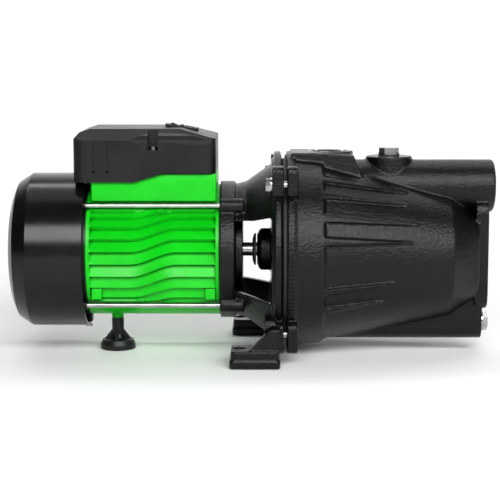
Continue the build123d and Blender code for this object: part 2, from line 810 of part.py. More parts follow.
with BuildPart() as seal_bellows:
    turn([
        (face_end, journal_radius), (face_end, seal_radius), (face_end + 1, seal_radius),
        (face_end + 1, journal_radius + 1.2), (seal_end - 1, journal_radius + 1.2),
        (seal_end - 1, seal_radius - 0.5),
        (seal_end, seal_radius - 0.5), (seal_end, journal_radius),
    ])
finish(seal_bellows, "seal_bellows")

spring_wire = 0.6
with BuildPart() as seal_spring:
    with BuildLine():
        coil = Helix(
            pitch=2.4, height=seal_end - face_end - 3.6, radius=journal_radius + 2.6,
            center=(face_end + 1.8, 0, shaft_height), direction=(1, 0, 0),
        )
    with BuildSketch(Plane(origin=coil @ 0, z_dir=coil % 0)):
        Circle(spring_wire)
    sweep()
finish(seal_spring, "seal_spring")

# ---------------------------------------------------------------- impeller
hub_end = nut_start - washer_thickness
shroud = 2.5
vane_depth = 7.0
neck_radius = 20.6


def swept_vane(inner, outer, turn_back, thickness, start_angle):
    """Outline of one backward-curved vane in the open sketch's plane."""
    def spot(radius, angle):
        return (radius * cos(radians(angle)), radius * sin(radians(angle)))

    inner_step = degrees(thickness / inner)
    outer_step = degrees(thickness / outer)
    middle = (inner + outer) / 2
    with BuildSketch() as outline:
        with BuildLine():
            ThreePointArc(
                spot(inner, start_angle), spot(middle, start_angle - 0.62 * turn_back),
                spot(outer, start_angle - turn_back),
            )
            Line(spot(outer, start_angle - turn_back), spot(outer, start_angle - turn_back - outer_step))
            ThreePointArc(
                spot(outer, start_angle - turn_back - outer_step),
                spot(middle, start_angle - 0.62 * turn_back - (inner_step + outer_step) / 2),
                spot(inner, start_angle - inner_step),
            )
            Line(spot(inner, start_angle - inner_step), spot(inner, start_angle))
        make_face()
    return outline.sketch


with BuildPart() as impeller:
    turn_ring(seal_end, hub_end, impeller_seat_radius, 10)
    turn_ring(impeller_back, impeller_back + shroud, 9, impeller_radius)
    turn([
        (impeller_back + shroud + vane_depth, 18), (impeller_back + shroud + vane_depth, impeller_radius),
        (impeller_back + 2 * shroud + vane_depth, impeller_radius),
        (impeller_back + 2 * shroud + vane_depth, neck_radius),
        (impeller_front, neck_radius), (impeller_front, 18),
    ])
    with BuildSketch(across(impeller_back + shroud)):
        for vane in range(6):
            add(swept_vane(18.5, impeller_radius - 0.5, 70, 2.4, 60 * vane))
    extrude(amount=vane_depth)
    with BuildSketch(level(0)):
        with Locations(((seal_end + impeller_front) / 2 + 4, 0)):
            SlotOverall(14, 3)
    extrude(amount=impeller_seat_radius + 1.4, mode=Mode.SUBTRACT)
finish(impeller, "impeller")

with BuildPart() as impeller_washer:
    turn_ring(hub_end, nut_start, impeller_seat_radius, 9)
finish(impeller_washer, "impeller_washer")

with BuildPart() as impeller_nut:
    with BuildSketch(across(nut_start)):
        RegularPolygon(6.5, 6, major_radius=False)
        Circle(shaft_thread_radius, mode=Mode.SUBTRACT)
    extrude(amount=6.5)
finish(impeller_nut, "impeller_nut")

# ---------------------------------------------------------------- diffuser, venturi tube and nozzle
diffuser_start = flange_face + spigot_length
diffuser_plate = impeller_back + 2 * shroud + vane_depth + 0.8
plate_end = diffuser_plate + 3.2
tube_end = 88.0
tail_radius = 14.0
with BuildPart() as diffuser:
    turn([
        (diffuser_start, 61), (diffuser_start, 66), (plate_end, 66), (plate_end, 22.5), (tube_end, 18),
        (tube_end, tail_radius), (impeller_front + 12, tail_radius), (impeller_front + 12, 13),
        (impeller_front + 8, neck_radius + 0.3), (diffuser_plate, neck_radius + 0.3), (diffuser_plate, 61),
    ])
    with BuildSketch(across(impeller_back + shroud)):
        with PolarLocations(63, 9):
            Rectangle(12, 18)
    extrude(amount=vane_depth, mode=Mode.SUBTRACT)
    with BuildSketch(across(plate_end)):
        for vane in range(7):
            add(swept_vane(30, 64, -40, 2, 360 / 7 * vane))
    extrude(amount=3)
finish(diffuser, "diffuser")

venturi_end = chamber_start + 1.5
with BuildPart() as venturi_tube:
    turn([
        (impeller_front + 12, 9), (impeller_front + 12, tail_radius - 0.1), (tube_end + 1, tail_radius - 0.1),
        (tube_end + 8, venturi_radius), (venturi_end, venturi_radius), (venturi_end, 8),
        (venturi_end - 12, 4.5), (venturi_end - 24, 4.5),
    ])
    turn_ring(78, 81, 11.4, tail_radius + 1, mode=Mode.SUBTRACT)
finish(venturi_tube, "venturi_tube")

with BuildPart() as venturi_seal:
    turn_wire(79.5, 12.7, 1.25)
finish(venturi_seal, "venturi_seal")

with BuildPart() as nozzle:
    turn([
        (180, 2.8), (180, 4), (192, 6.5), (chamber_end - 3, 6.5), (chamber_end - 3, 9), (chamber_end, 9),
        (chamber_end, 6.95), (203, 6.95), (203, 4.5), (190, 4.5), (184, 2.8),
    ])
finish(nozzle, "nozzle")

# ---------------------------------------------------------------- plugs
plug_washer = 1.5


def plug(base):
    """Threaded plug with a collar and a hexagon; the base plane faces outwards."""
    with BuildSketch(base) as thread:
        Circle(plug_thread_radius)
        Circle(3.6, mode=Mode.SUBTRACT)
    extrude(thread.sketch, amount=-12)
    with BuildSketch(base) as collar:
        Circle(9.4)
    extrude(collar.sketch, amount=1.4)
    with BuildSketch(base) as hexagon:
        RegularPolygon(7.5, 6, major_radius=False)
    extrude(hexagon.sketch, amount=5.6)


def plug_ring(base):
    """Flat sealing washer under a plug."""
    with BuildSketch(base) as ring:
        Circle(9.2)
        Circle(plug_thread_radius + running_gap, mode=Mode.SUBTRACT)
    extrude(ring.sketch, amount=-plug_washer)


priming_seat = Plane(origin=(priming_x, 0, shaft_height + priming_rise + plug_washer), z_dir=(0, 0, 1))
drain_seat = Plane(origin=(drain_x + plug_washer, 0, shaft_height + drain_rise), z_dir=(1, 0, 0))
with BuildPart() as priming_plug:
    plug(priming_seat)
finish(priming_plug, "priming_plug")
with BuildPart() as priming_plug_washer:
    plug_ring(priming_seat)
finish(priming_plug_washer, "priming_plug_washer")
with BuildPart() as drain_plug:
    plug(drain_seat)
finish(drain_plug, "drain_plug")
with BuildPart() as drain_plug_washer:
    plug_ring(drain_seat)
finish(drain_plug_washer, "drain_plug_washer")

# ---------------------------------------------------------------- motor foot
foot_top = shaft_height + foot_boss_rise
with BuildPart() as motor_foot:
    with BuildSketch(Plane.XZ):
        with BuildLine():
            Polyline(
                (foot_x, 0), (foot_x + 15.5, 0), (foot_x + 15.5, 4), (foot_x + 13.5, 8), (foot_x + 6.5, 9.5),
                (foot_x + 5.3, 13), (foot_x + 5.3, foot_top), (foot_x, foot_top), close=True,
            )
        make_face()
    revolve(axis=Axis((foot_x, 0, 0), (0, 0, 1)))
    for turn_angle in (0, 90):
        rib = Plane(origin=(foot_x, 0, 0), x_dir=(cos(radians(turn_angle)), sin(radians(turn_angle)), 0),
                    z_dir=(sin(radians(turn_angle)), -cos(radians(turn_angle)), 0))
        with BuildSketch(rib):
            with BuildLine():
                Polyline((-12, 8), (12, 8), (5, 17), (-5, 17), close=True)
            make_face()
        extrude(amount=1.2, both=True)
    with BuildSketch(Plane.XY):
        with Locations((foot_x, 0)):
            Circle(3)
    extrude(amount=foot_top, mode=Mode.SUBTRACT)
    with BuildSketch(Plane.XY):
        with Locations((foot_x, 0)):
            Circle(5.6)
    extrude(amount=5, mode=Mode.SUBTRACT)
finish(motor_foot, "motor_foot")

with BuildPart() as foot_screw:
    with BuildSketch(Plane.XY.offset(1)):
        with Locations((foot_x, 0)):
            Circle(5)
    extrude(amount=4)
    with BuildSketch(Plane.XY.offset(5)):
        with Locations((foot_x, 0)):
            Circle(foot_thread_radius - thread_gap)
    extrude(amount=foot_top + 2)
    with BuildSketch(Plane.XY.offset(1)):
        with Locations((foot_x, 0)):
            Rectangle(8, 1.2)
    extrude(amount=1.4, mode=Mode.SUBTRACT)
finish(foot_screw, "foot_screw")

# ---------------------------------------------------------------- terminal box
slope_start = -50.0
slope_rise = 99.5
skirt_rise = 62.8
skirt_end = -89.0
skirt_rise_right = pedestal_rise + 0.4


def cover_shape(inset, floor_drop):
    """The cover's outer shape moved inwards by the inset; its floor goes down by the drop."""
    half = box_half_width - inset
    top = box_top - inset
    with BuildPart() as shape:
        with BuildSketch(side):
            with BuildLine():
                Polyline(
                    (box_left + inset, skirt_rise - floor_drop), (box_left + inset, top - 9),
                    (box_left + inset + 5, top - 3), (box_left + inset + 14, top), (slope_start, top),
                    (box_right - inset, slope_rise - inset),
                    (box_right - inset, skirt_rise_right - floor_drop),
                    (skirt_end + 25, skirt_rise_right - floor_drop), (skirt_end, skirt_rise - floor_drop),
                    close=True,
                )
            make_face()
        extrude(amount=half, both=True)
        ends = shape.edges().filter_by(Axis.Z).group_by(Axis.Y)
        fillet(ends[0] + ends[-1], 9 - inset)
        with BuildSketch(across(box_left)):
            with BuildLine():
                Polyline(
                    (-half, 0), (-half, box_edge - inset / 2),
                    (-half + 12, top + 0.1), (half - 12, top + 0.1),
                    (half, box_edge - inset / 2), (half, 0), close=True,
                )
            make_face()
        extrude(amount=box_right - box_left, mode=Mode.INTERSECT)
    return shape.part


cover_outer = cover_shape(0, 0)
cover_inner = cover_shape(box_wall, 20)

with BuildPart() as brow:
    with BuildSketch(side):
        with BuildLine():
            Spline((-91, 98.6), (-84, 101.9), (-62.5, 104.2), (-49, 103.6), (-22.4, 97))
            Spline((-22.4, 97), (-30.7, 92.2), (-48.7, 95.2), (-62, 96), (-89, 95.4))
            Line((-89, 95.4), (-91, 98.6))
        make_face()
    extrude(amount=box_half_width + 4)
    with BuildSketch(across(box_left)):
        with BuildLine():
            Polyline(
                (-46, 90), (-47.3, 95), (-47, 98.8), (-44, 102), (-38, 105.4), (-34, 105.4), (-40, 99),
                (-44.5, 95), (-44.5, 90), close=True,
            )
        make_face()
    extrude(amount=box_right - box_left, mode=Mode.INTERSECT)

switch_centre = -50.0
switch_plane = Plane(
    origin=(switch_centre, 0, shaft_height + box_top - 0.9),
    x_dir=(cos(radians(8)), 0, -sin(radians(8))),
    z_dir=(sin(radians(8)), 0, cos(radians(8))),
)
gland_plane = Plane(
    origin=(-118, box_half_width, shaft_height + 84), x_dir=(1, 0, 0), z_dir=(0, 1, 0)
)
gland_thread = 7.9

with BuildPart() as pocket_walls:
    with BuildSketch(level(pedestal_rise + 1.2)):
        with Locations((cover_screw_x, cover_screw_y), (cover_screw_x, -cover_screw_y)):
            Rectangle(pocket_width + 3.4, 2 * (box_half_width - cover_screw_y))
    extrude(amount=box_top - pedestal_rise)
    add(cover_outer, mode=Mode.INTERSECT)

with BuildPart() as terminal_box_cover:
    add(cover_outer)
    add(brow.part)
    mirror(brow.part, about=Plane.XZ)
    add(cover_inner, mode=Mode.SUBTRACT)
    add(pocket_walls.part)
    with BuildSketch(level(screw_seat_rise)):
        with Locations((cover_screw_x, cover_screw_y + 4), (cover_screw_x, -cover_screw_y - 4)):
            Rectangle(pocket_width, 16)
    extrude(amount=box_top - screw_seat_rise + 5, mode=Mode.SUBTRACT)
    with BuildSketch(level(pedestal_rise)):
        with Locations((cover_screw_x, cover_screw_y), (cover_screw_x, -cover_screw_y)):
            Circle(cover_screw_radius + 0.4)
    extrude(amount=25, mode=Mode.SUBTRACT)
    turn_ring(box_left - 1, housing_rear + 1, 0, cowl_radius + free_gap, mode=Mode.SUBTRACT)
    for groove_x in (-122.7, -111.1):
        for direction in (-1, 1):
            with BuildSketch(Plane.XZ.offset(-direction * (box_half_width - 0.8))):
                with Locations((groove_x, shaft_height + 85)):
                    Rectangle(1.4, 26)
            extrude(amount=-direction * 3, mode=Mode.SUBTRACT)
            with BuildSketch(Plane.XZ.offset(-direction * (box_half_width - 4))):
                with Locations((groove_x, shaft_height + 71.4)):
                    Rectangle(2.6, 1.4)
            extrude(amount=-direction * 6, mode=Mode.SUBTRACT)
    with BuildSketch(switch_plane.offset(-8)):
        Rectangle(24, 18)
    extrude(amount=12, mode=Mode.SUBTRACT)
    with BuildSketch(switch_plane):
        Rectangle(29.4, 22.4)
    extrude(amount=4, mode=Mode.SUBTRACT)
    with BuildSketch(gland_plane.offset(-6)):
        Circle(gland_thread + 0.2)
    extrude(amount=8, mode=Mode.SUBTRACT)
finish(terminal_box_cover, "terminal_box_cover")

with BuildPart() as terminal_box_gasket:
    with BuildSketch(level(pedestal_rise)):
        with Locations((pedestal_x - 1.5, 0)):
            RectangleRounded(pedestal_length - 4, 2 * (box_half_width - box_wall - free_gap - 1), 4)
            RectangleRounded(pedestal_length - 14, 66, 4, mode=Mode.SUBTRACT)
        with Locations((cover_screw_x, cover_screw_y), (cover_screw_x, -cover_screw_y)):
            Circle(cover_screw_radius + 0.4, mode=Mode.SUBTRACT)
    extrude(amount=1.2)
finish(terminal_box_gasket, "terminal_box_gasket")

with BuildPart() as cover_screws:
    with BuildSketch(level(screw_seat_rise)):
        with Locations((cover_screw_x, cover_screw_y), (cover_screw_x, -cover_screw_y)):
            Circle(3.6)
    extrude(amount=2.6)
    with BuildSketch(level(screw_seat_rise)):
        with Locations((cover_screw_x, cover_screw_y), (cover_screw_x, -cover_screw_y)):
            Circle(cover_screw_radius)
    extrude(amount=-30)
    with BuildSketch(level(91.4)):
        with Locations((cover_screw_x, cover_screw_y), (cover_screw_x, -cover_screw_y)):
            Rectangle(5, 0.9)
            Rectangle(0.9, 5)
    extrude(amount=2, mode=Mode.SUBTRACT)
finish(cover_screws, "cover_screws")

with BuildPart() as switch_body:
    with BuildSketch(switch_plane):
        RectangleRounded(29, 22, 2)
    extrude(amount=1.8)
    with BuildSketch(switch_plane):
        Rectangle(23.6, 17.6)
    extrude(amount=-14)
    with BuildSketch(switch_plane.offset(1.8)):
        Rectangle(20.4, 12.4)
    extrude(amount=-9, mode=Mode.SUBTRACT)
finish(switch_body, "switch_body")

rocker_side = Plane(origin=switch_plane.origin, x_dir=switch_plane.x_dir, z_dir=(0, -1, 0))
with BuildPart() as switch_rocker:
    with BuildSketch(rocker_side):
        with BuildLine():
            Polyline((-9.4, -1.6), (-9.4, 3.4), (0, 1.4), (9.4, 1.4), (9.4, -1.6), (0, -4), close=True)
        make_face()
        Circle(3)
    extrude(amount=5.9, both=True)
finish(switch_rocker, "switch_rocker")

pocket_floor = pedestal_rise - 14
with BuildPart() as terminal_block:
    with BuildSketch(level(pocket_floor)):
        with Locations((-100, -19)):
            RectangleRounded(34, 18, 1.5)
    extrude(amount=15)
    with BuildSketch(level(pocket_floor + 15)):
        with Locations((-100, -19)):
            with GridLocations(10, 8, 3, 2):
                Circle(2.4)
    extrude(amount=-9, mode=Mode.SUBTRACT)
finish(terminal_block, "terminal_block")

with BuildPart() as terminal_screws:
    with BuildSketch(level(pocket_floor + 6)):
        with Locations((-100, -19)):
            with GridLocations(10, 8, 3, 2):
                Circle(2.2)
    extrude(amount=5)
finish(terminal_screws, "terminal_screws")

capacitor_radius = 15.0
capacitor_start = -116.0
capacitor_y = 13.0
capacitor_rise = pocket_floor + capacitor_radius + 1.0
with BuildPart() as capacitor:
    with BuildSketch(across(capacitor_start)):
        with Locations((capacitor_y, capacitor_rise)):
            Circle(capacitor_radius)
    extrude(amount=48)
finish(capacitor, "capacitor")

with BuildPart() as capacitor_clip:
    with BuildSketch(across(capacitor_start + 18)):
        with Locations((capacitor_y, capacitor_rise)):
            Circle(capacitor_radius + 0.9)
        with Locations((capacitor_y, capacitor_rise - capacitor_radius + 1)):
            Rectangle(14, 4)
        with Locations((capacitor_y, capacitor_rise)):
            Circle(capacitor_radius, mode=Mode.SUBTRACT)
    extrude(amount=12)
    with BuildSketch(level(pocket_floor)):
        Rectangle(400, 200)
    extrude(amount=-10, mode=Mode.SUBTRACT)
finish(capacitor_clip, "capacitor_clip")

with BuildPart() as cable_gland:
    with BuildSketch(gland_plane):
        RegularPolygon(10.5, 6, major_radius=False)
    extrude(amount=5)
    with BuildSketch(gland_plane):
        Circle(gland_thread)
    extrude(amount=-9)
    with BuildSketch(gland_plane.offset(5)):
        Circle(8.4)
    extrude(amount=9)
    with BuildSketch(gland_plane.offset(14)):
        Circle(4.2)
    extrude(amount=-23, mode=Mode.SUBTRACT)
finish(cable_gland, "cable_gland")

with BuildPart() as cable_gland_nut:
    with BuildSketch(gland_plane.offset(5.5)):
        RegularPolygon(10.5, 6, major_radius=False)
    extrude(amount=7)
    with BuildSketch(gland_plane.offset(12.5)):
        Circle(9.8)
    with BuildSketch(gland_plane.offset(17.5)):
        Circle(6.5)
    loft()
    with BuildSketch(gland_plane.offset(14.1)):
        Circle(8.5)
    extrude(amount=-10, mode=Mode.SUBTRACT)
    with BuildSketch(gland_plane.offset(18)):
        Circle(4.4)
    extrude(amount=-10, mode=Mode.SUBTRACT)
finish(cable_gland_nut, "cable_gland_nut")

with BuildPart() as cable_gland_locknut:
    with BuildSketch(gland_plane.offset(-box_wall)):
        RegularPolygon(10, 6, major_radius=False)
        Circle(gland_thread, mode=Mode.SUBTRACT)
    extrude(amount=-4)
finish(cable_gland_locknut, "cable_gland_locknut")
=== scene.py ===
import json
import math

import bmesh
import bpy
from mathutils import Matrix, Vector


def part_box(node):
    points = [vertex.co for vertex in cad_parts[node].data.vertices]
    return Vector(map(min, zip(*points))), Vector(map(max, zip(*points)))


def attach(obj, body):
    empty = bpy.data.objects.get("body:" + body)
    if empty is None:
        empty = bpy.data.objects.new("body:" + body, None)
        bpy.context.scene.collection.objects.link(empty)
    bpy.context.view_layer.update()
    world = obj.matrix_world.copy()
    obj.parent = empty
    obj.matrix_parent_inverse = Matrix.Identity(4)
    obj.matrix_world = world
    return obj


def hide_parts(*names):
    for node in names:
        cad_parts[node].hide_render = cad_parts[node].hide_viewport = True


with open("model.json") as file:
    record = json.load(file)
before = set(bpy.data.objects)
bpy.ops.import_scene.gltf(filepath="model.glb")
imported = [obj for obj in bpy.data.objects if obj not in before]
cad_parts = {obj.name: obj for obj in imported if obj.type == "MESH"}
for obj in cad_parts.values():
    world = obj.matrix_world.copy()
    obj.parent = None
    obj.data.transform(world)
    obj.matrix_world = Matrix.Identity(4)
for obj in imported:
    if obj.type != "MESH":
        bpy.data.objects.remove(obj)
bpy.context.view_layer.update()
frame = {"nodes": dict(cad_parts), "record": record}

nodes = frame["nodes"]
record = frame["record"]
joints = {j["name"]: j for j in record["behaviour"]["joints"]}
shaftHeight = joints["shaft_spin"]["pos_m"][2]
mm = 0.001
print("frame loaded:", len(nodes), "nodes")


# camera, floor and lights
studio = {
    "cameraX": 0.017,
    "cameraDistance": 1.300,
    "cameraRise": 0.180,   # above the shaft
    "aimX": 0.009,
    "aimRise": -0.001,
    "lens": 107.4,
    "sensor": 36,
    "farthest": 50,
    "worldLight": 0.05,
}


def aimAt(thing, target):
    thing.rotation_euler = (Vector(target) - thing.location).to_track_quat("-Z", "Y").to_euler()


def makeCamera():
    data = bpy.data.cameras.new("productCamera")
    data.lens = studio["lens"]
    data.sensor_width = studio["sensor"]
    data.clip_end = studio["farthest"]
    camera = bpy.data.objects.new("productCamera", data)
    bpy.context.collection.objects.link(camera)
    camera.location = (studio["cameraX"], -studio["cameraDistance"], shaftHeight + studio["cameraRise"])
    aimAt(camera, (studio["aimX"], 0, shaftHeight + studio["aimRise"]))
    bpy.context.scene.camera = camera


def makeSoftbox(name, place, target, size, power):
    data = bpy.data.lights.new(name, "AREA")
    data.shape = "RECTANGLE"
    data.size, data.size_y = size
    data.energy = power
    light = bpy.data.objects.new(name, data)
    bpy.context.collection.objects.link(light)
    light.location = place
    aimAt(light, target)


floorShape = {
    "tint": (0.86, 0.86, 0.86),
    "halfWidth": 4.0,
    "front": -3.0,
    "bendStart": 1.2,
    "bendRadius": 1.0,
    "bendSteps": 12,
    "wallTop": 4.0,
    "drop": 0.0004,        # keeps the paper just under the feet
}


def makeFloor():
    # a pale floor that curves up into a wall behind the pump
    start = floorShape["bendStart"]
    radius = floorShape["bendRadius"]
    steps = floorShape["bendSteps"]
    rows = [(floorShape["front"], 0.0), (start, 0.0)]
    for step in range(1, steps + 1):
        angle = math.pi / 2 * step / steps
        rows.append((start + radius * math.sin(angle), radius - radius * math.cos(angle)))
    rows.append((start + radius, floorShape["wallTop"]))
    mesh = bpy.data.meshes.new("paleFloor")
    verts = []
    faces = []
    for y, z in rows:
        verts.append((-floorShape["halfWidth"], y, z - floorShape["drop"]))
        verts.append((floorShape["halfWidth"], y, z - floorShape["drop"]))
    for i in range(len(rows) - 1):
        faces.append((2 * i, 2 * i + 1, 2 * i + 3, 2 * i + 2))
    mesh.from_pydata(verts, [], faces)
    mesh.shade_smooth()
    floor = bpy.data.objects.new("paleFloor", mesh)
    bpy.context.collection.objects.link(floor)
    mesh.materials.append(plainMatte("paleFloorPaper", floorShape["tint"]))


# place, target, size in metres, and power in watts
softboxes = {
    "topSoftbox": ((0.0, 0.1, 1.3), (0, 0, shaftHeight + 0.1), (1.5, 0.6), 2.5),
    "keySoftbox": ((0.35, -1.36, 0.94), (0.1, 0, shaftHeight), (2.0, 0.7), 40),
    "sideSoftbox": ((1.3, -0.7, 0.5), (0.1, 0, shaftHeight), (0.3, 0.8), 2),
    "frontStrip": ((-0.1, -1.7, 0.22), (0, 0, shaftHeight), (1.4, 0.10), 0.35),
    "wallSoftbox": ((0.0, 0.9, 1.9), (0, 2.0, 0.5), (3.0, 0.6), 42),
}


def makeStudio():
    makeCamera()
    makeFloor()
    world = bpy.data.worlds.new("studioAir")
    bpy.context.scene.world = world
    world.use_nodes = True
    air = world.node_tree.nodes["Background"]
    air.inputs["Color"].default_value = (1, 1, 1, 1)
    air.inputs["Strength"].default_value = studio["worldLight"]
    for name, (place, target, size, power) in softboxes.items():
        makeSoftbox(name, place, target, size, power)
    bpy.context.scene.view_settings.view_transform = "Standard"
    print("studio ready")


# small helpers for materials
def newFinish(name):
    material = bpy.data.materials.new(name)
    material.use_nodes = True
    tree = material.node_tree
    shader = tree.nodes["Principled BSDF"]
    place = tree.nodes.new("ShaderNodeTexCoord")
    return material, tree, shader, place.outputs["Object"]


def addNoise(tree, where, scale, detail=4.0, rough=0.55):
    noise = tree.nodes.new("ShaderNodeTexNoise")
    noise.inputs["Scale"].default_value = scale
    noise.inputs["Detail"].default_value = detail
    noise.inputs["Roughness"].default_value = rough
    tree.links.new(where, noise.inputs["Vector"])
    return noise.outputs["Fac"]


def addCells(tree, where, scale):
    cells = tree.nodes.new("ShaderNodeTexVoronoi")
    cells.feature = "F1"
    cells.inputs["Scale"].default_value = scale
    tree.links.new(where, cells.inputs["Vector"])
    return cells.outputs["Distance"]


def addRamp(tree, value, stops):
    ramp = tree.nodes.new("ShaderNodeValToRGB")
    while len(ramp.color_ramp.elements) < len(stops):
        ramp.color_ramp.elements.new(0.5)
    for element, (spot, colour) in zip(ramp.color_ramp.elements, stops):
        element.position = spot
        element.color = (*colour, 1)
    tree.links.new(value, ramp.inputs["Fac"])
    return ramp.outputs["Color"]


def addRange(tree, value, low, high, fromLow=0.3, fromHigh=0.7):
    spread = tree.nodes.new("ShaderNodeMapRange")
    spread.inputs["From Min"].default_value = fromLow
    spread.inputs["From Max"].default_value = fromHigh
    spread.inputs["To Min"].default_value = low
    spread.inputs["To Max"].default_value = high
    tree.links.new(value, spread.inputs["Value"])
    return spread.outputs["Result"]


def addBump(tree, height, distance, strength=1.0, before=None):
    bump = tree.nodes.new("ShaderNodeBump")
    bump.inputs["Strength"].default_value = strength
    bump.inputs["Distance"].default_value = distance
    tree.links.new(height, bump.inputs["Height"])
    if before is not None:
        tree.links.new(before, bump.inputs["Normal"])
    return bump.outputs["Normal"]


def addMix(tree, factor, first, second):
    mix = tree.nodes.new("ShaderNodeMix")
    mix.data_type = "RGBA"
    tree.links.new(factor, mix.inputs[0])
    for socket, colour in ((mix.inputs[6], first), (mix.inputs[7], second)):
        if isinstance(colour, tuple):
            socket.default_value = (*colour, 1)
        else:
            tree.links.new(colour, socket)
    return mix.outputs[2]


def addHollows(tree, distance):
    # how enclosed a spot is: 1 on open faces, 0 deep in corners
    hollow = tree.nodes.new("ShaderNodeAmbientOcclusion")
    hollow.samples = 6
    hollow.inputs["Distance"].default_value = distance
    return hollow.outputs["AO"]


def stretch(tree, where, scale):
    mapping = tree.nodes.new("ShaderNodeMapping")
    mapping.inputs["Scale"].default_value = scale
    tree.links.new(where, mapping.inputs["Vector"])
    return mapping.outputs["Vector"]


def plainMatte(name, tint):
    material, tree, shader, where = newFinish(name)
    grain = addNoise(tree, where, 3.0, 2)
    darker = tuple(c * 0.99 for c in tint)
    tree.links.new(addRamp(tree, grain, [(0.3, darker), (0.7, tint)]), shader.inputs["Base Color"])
    shader.inputs["Roughness"].default_value = 0.7
    shader.inputs["Specular IOR Level"].default_value = 0.2
    return material


# finishes
castIron = {
    "dark": (0.0012, 0.0012, 0.0013),
    "light": (0.004, 0.004, 0.0042),
    "dust": (0.004, 0.004, 0.0039),
    "grain": 520,
    "grainDepth": 0.0006,
    "lumpDepth": 0.0004,
    "roughLow": 0.16,
    "roughHigh": 0.3,
    "gloss": 0.25,
}


def makeCastIron():
    # thick black paint over sand-cast iron: crinkled skin with bright glints
    material, tree, shader, where = newFinish("blackCastIron")
    grain = addNoise(tree, where, castIron["grain"], 6, 0.62)
    pits = addCells(tree, where, castIron["grain"] * 0.9)
    lumps = addNoise(tree, where, 60, 3)
    patches = addNoise(tree, where, 22, 3)
    colour = addRamp(tree, grain, [(0.35, castIron["dark"]), (0.7, castIron["light"])])
    dust = addRange(tree, patches, 0.0, 0.22, 0.42, 0.75)
    tree.links.new(addMix(tree, dust, colour, castIron["dust"]), shader.inputs["Base Color"])
    shine = addRange(tree, patches, castIron["roughLow"], castIron["roughHigh"])
    tree.links.new(shine, shader.inputs["Roughness"])
    lumpy = addBump(tree, lumps, castIron["lumpDepth"], 0.6)
    pitted = addBump(tree, pits, castIron["grainDepth"] * 0.5, 0.55, lumpy)
    tree.links.new(addBump(tree, grain, castIron["grainDepth"], 0.9, pitted), shader.inputs["Normal"])
    shader.inputs["Specular IOR Level"].default_value = castIron["gloss"]
    return material


greenPaint = {
    "base": (0.0, 0.44, 0.003),
    "light": (0.0, 0.54, 0.006),
    "shadow": (0.0, 0.09, 0.001),
    "grainDepth": 0.00012,
    "paintedShadeReach": 0.004,
    "gloss": 0.3,
}


def makeGreenPaint():
    # sprayed enamel over die-cast aluminium, with painted shade in the hollows between the fins
    material, tree, shader, where = newFinish("brightGreenEnamel")
    mottle = addNoise(tree, where, 35, 4)
    peel = addNoise(tree, where, 900, 3)
    colour = addRamp(tree, mottle, [(0.3, greenPaint["base"]), (0.7, greenPaint["light"])])
    # painted shade: an occlusion mask darkens the enamel toward the shadow colour in hollows and between the
    # fins
    hollow = addRange(tree, addHollows(tree, greenPaint["paintedShadeReach"]), 1.0, 0.0, 0.3, 0.75)
    tree.links.new(addMix(tree, hollow, colour, greenPaint["shadow"]), shader.inputs["Base Color"])
    tree.links.new(addRange(tree, mottle, 0.3, 0.44), shader.inputs["Roughness"])
    wavy = addBump(tree, mottle, 0.0006, 0.4)
    tree.links.new(addBump(tree, peel, greenPaint["grainDepth"], 0.5, wavy), shader.inputs["Normal"])
    shader.inputs["Specular IOR Level"].default_value = greenPaint["gloss"]
    return material


def makePlastic(name, tint, rough, grainScale, grainDepth, ripple=0.0, gloss=0.5):
    material, tree, shader, where = newFinish(name)
    cloud = addNoise(tree, where, 30, 3)
    grain = addNoise(tree, where, grainScale, 3)
    lighter = tuple(c * 1.35 + 0.001 for c in tint)
    tree.links.new(addRamp(tree, cloud, [(0.35, tint), (0.75, lighter)]), shader.inputs["Base Color"])
    tree.links.new(addRange(tree, cloud, rough * 0.85, rough * 1.2), shader.inputs["Roughness"])
    soft = addBump(tree, cloud, ripple, 0.5) if ripple else None
    tree.links.new(addBump(tree, grain, grainDepth, 0.5, soft), shader.inputs["Normal"])
    shader.inputs["Specular IOR Level"].default_value = gloss
    return material


def makeMetal(name, tint, rough, streak=(1, 1, 1), scale=400, depth=0.00005):
    material, tree, shader, where = newFinish(name)
    shader.inputs["Metallic"].default_value = 1.0
    lines = addNoise(tree, stretch(tree, where, streak), scale, 4)
    stain = addNoise(tree, where, 60, 3)
    darker = tuple(c * 0.62 for c in tint)
    tree.links.new(addRamp(tree, stain, [(0.3, darker), (0.65, tint)]), shader.inputs["Base Color"])
    tree.links.new(addRange(tree, lines, rough * 0.7, rough * 1.4), shader.inputs["Roughness"])
    tree.links.new(addBump(tree, lines, depth, 0.6), shader.inputs["Normal"])
    return material


def makeRubber():
    material, tree, shader, where = newFinish("blackRubber")
    grain = addNoise(tree, where, 1400, 3)
    cloud = addNoise(tree, where, 80, 2)
    colour = addRamp(tree, cloud, [(0.3, (0.012, 0.012, 0.012)), (0.8, (0.03, 0.03, 0.03))])
    tree.links.new(colour, shader.inputs["Base Color"])
    tree.links.new(addRange(tree, cloud, 0.55, 0.75), shader.inputs["Roughness"])
    tree.links.new(addBump(tree, grain, 0.00006, 0.6), shader.inputs["Normal"])
    return material


